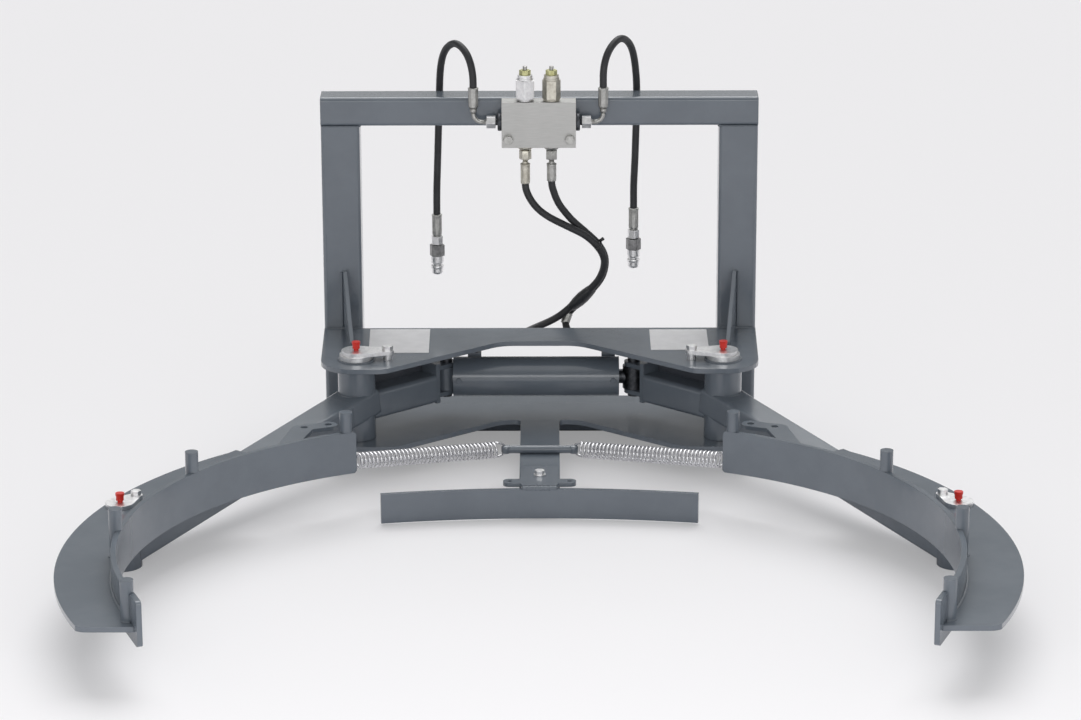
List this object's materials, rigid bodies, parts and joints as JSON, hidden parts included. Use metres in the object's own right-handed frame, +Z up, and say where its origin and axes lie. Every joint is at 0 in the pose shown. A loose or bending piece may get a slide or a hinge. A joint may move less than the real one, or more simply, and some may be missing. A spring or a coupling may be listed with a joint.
{
  "type": "hydraulic grapple clamp attachment",
  "caption": "Portal frame with two hydraulic swinging arms, curved self-aligning jaws with tension springs, a central stop and a valve block with hoses.",
  "frame": {"origin": "middle of the underside of the lower cross tube, on the ground plane", "axes": "+X to the right across the frame, +Y to the back where the carrier is, +Z up; the jaws point along -Y"},
  "size_m": [1.756, 1.5924, 0.8495],
  "materials": {
    "paint": "semi-gloss paint over mild steel",
    "zinc": "zinc plated",
    "yellow_zinc": "yellow passivated zinc",
    "alloy": "milled",
    "chrome_rod": "polished",
    "hose_rubber": "smooth cover",
    "tie_plastic": "textured",
    "cap_plastic": "moulded"
  },
  "bodies": {
    "frame": {"top_cross_tube": "paint", "left_upright": "paint", "right_upright": "paint", "lower_cross_tube": "paint", "top_plate": "paint", "bottom_plate": "paint", "left_gusset": "paint", "right_gusset": "paint", "left_hitch_bracket": "paint", "right_hitch_bracket": "paint", "left_main_pin": "zinc", "right_main_pin": "zinc", "left_main_grease_cap": "cap_plastic", "right_main_grease_cap": "cap_plastic", "spring_bar": "paint", "stop_carriage": "paint", "stop_band": "paint", "stop_bolt": "zinc", "valve_block": "alloy", "block_bolts": "zinc", "left_cartridge": "zinc", "right_cartridge": "zinc", "adjuster_nuts": "yellow_zinc", "left_side_fitting": "zinc", "right_side_fitting": "zinc", "left_bottom_fitting": "zinc", "right_bottom_fitting": "zinc", "left_supply_hose": "hose_rubber", "right_supply_hose": "hose_rubber", "left_coupler": "zinc", "right_coupler": "zinc", "left_cylinder_hose": "hose_rubber", "right_cylinder_hose": "hose_rubber", "hose_tie": "tie_plastic"},
    "left_arm": {"left_arm_hub": "paint", "left_arm_beam": "paint", "left_lever": "paint", "left_jaw_hub": "paint", "left_lever_pin": "zinc"},
    "right_arm": {"right_arm_hub": "paint", "right_arm_beam": "paint", "right_lever": "paint", "right_jaw_hub": "paint", "right_lever_pin": "zinc"},
    "left_jaw": {"left_band": "paint", "left_lug": "paint", "left_crescent": "paint", "left_studs": "paint", "left_jaw_pin": "zinc", "left_jaw_grease_cap": "cap_plastic"},
    "right_jaw": {"right_band": "paint", "right_lug": "paint", "right_crescent": "paint", "right_studs": "paint", "right_jaw_pin": "zinc", "right_jaw_grease_cap": "cap_plastic"},
    "barrel": {"cylinder_barrel": "paint", "cylinder_gland": "paint", "cylinder_guard": "paint"},
    "rod": {"cylinder_rod": "chrome_rod"},
    "left_tension_spring": {"left_spring": "zinc"},
    "right_tension_spring": {"right_spring": "zinc"}
  },
  "joints": [
    {"name": "left_arm_swing", "type": "hinge", "parent": "frame", "child": "left_arm", "pos_m": [-0.373, -0.254, 0.142], "axis": [0, 0, 1], "range_deg": [0, 27.5], "deforming": ["left_spring", "right_spring"]},
    {"name": "right_arm_swing", "type": "hinge", "parent": "frame", "child": "right_arm", "pos_m": [0.373, -0.254, 0.142], "axis": [0, 0, -1], "range_deg": [0, 27.5]},
    {"name": "left_jaw_pivot", "type": "hinge", "parent": "left_arm", "child": "left_jaw", "pos_m": [-0.794, -0.834, 0.1], "axis": [0, 0, 1], "range_deg": [0, 9], "stiffness_Nm_per_rad": 150, "springref_deg": -8.59, "deforming": ["left_spring"]},
    {"name": "right_jaw_pivot", "type": "hinge", "parent": "right_arm", "child": "right_jaw", "pos_m": [0.794, -0.834, 0.1], "axis": [0, 0, -1], "range_deg": [0, 9], "stiffness_Nm_per_rad": 150, "springref_deg": -8.59, "deforming": ["right_spring"]},
    {"name": "barrel_pivot", "type": "hinge", "parent": "left_arm", "child": "barrel", "pos_m": [-0.195, -0.095, 0.142], "axis": [0, 0, 1], "range_deg": [-27.5, 0]},
    {"name": "rod_pivot", "type": "hinge", "parent": "right_arm", "child": "rod", "pos_m": [0.195, -0.095, 0.142], "axis": [0, 0, -1], "range_deg": [-27.5, 0]},
    {"name": "left_spring_turn", "type": "hinge", "parent": "frame", "child": "left_tension_spring", "pos_m": [-0.075, -0.363, 0.072], "axis": [0, 0, 1], "range_deg": [0, 11.55]},
    {"name": "right_spring_turn", "type": "hinge", "parent": "frame", "child": "right_tension_spring", "pos_m": [0.075, -0.363, 0.072], "axis": [0, 0, -1], "range_deg": [0, 11.55]}
  ],
  "couplings": [
    {"joint": "right_arm_swing", "follows": "left_arm_swing", "ratio": 1},
    {"joint": "barrel_pivot", "follows": "left_arm_swing", "ratio": -1},
    {"joint": "rod_pivot", "follows": "left_arm_swing", "ratio": -1},
    {"joint": "left_spring_turn", "follows": "left_arm_swing", "ratio": 0.42},
    {"joint": "right_spring_turn", "follows": "left_arm_swing", "ratio": 0.42}
  ]
}
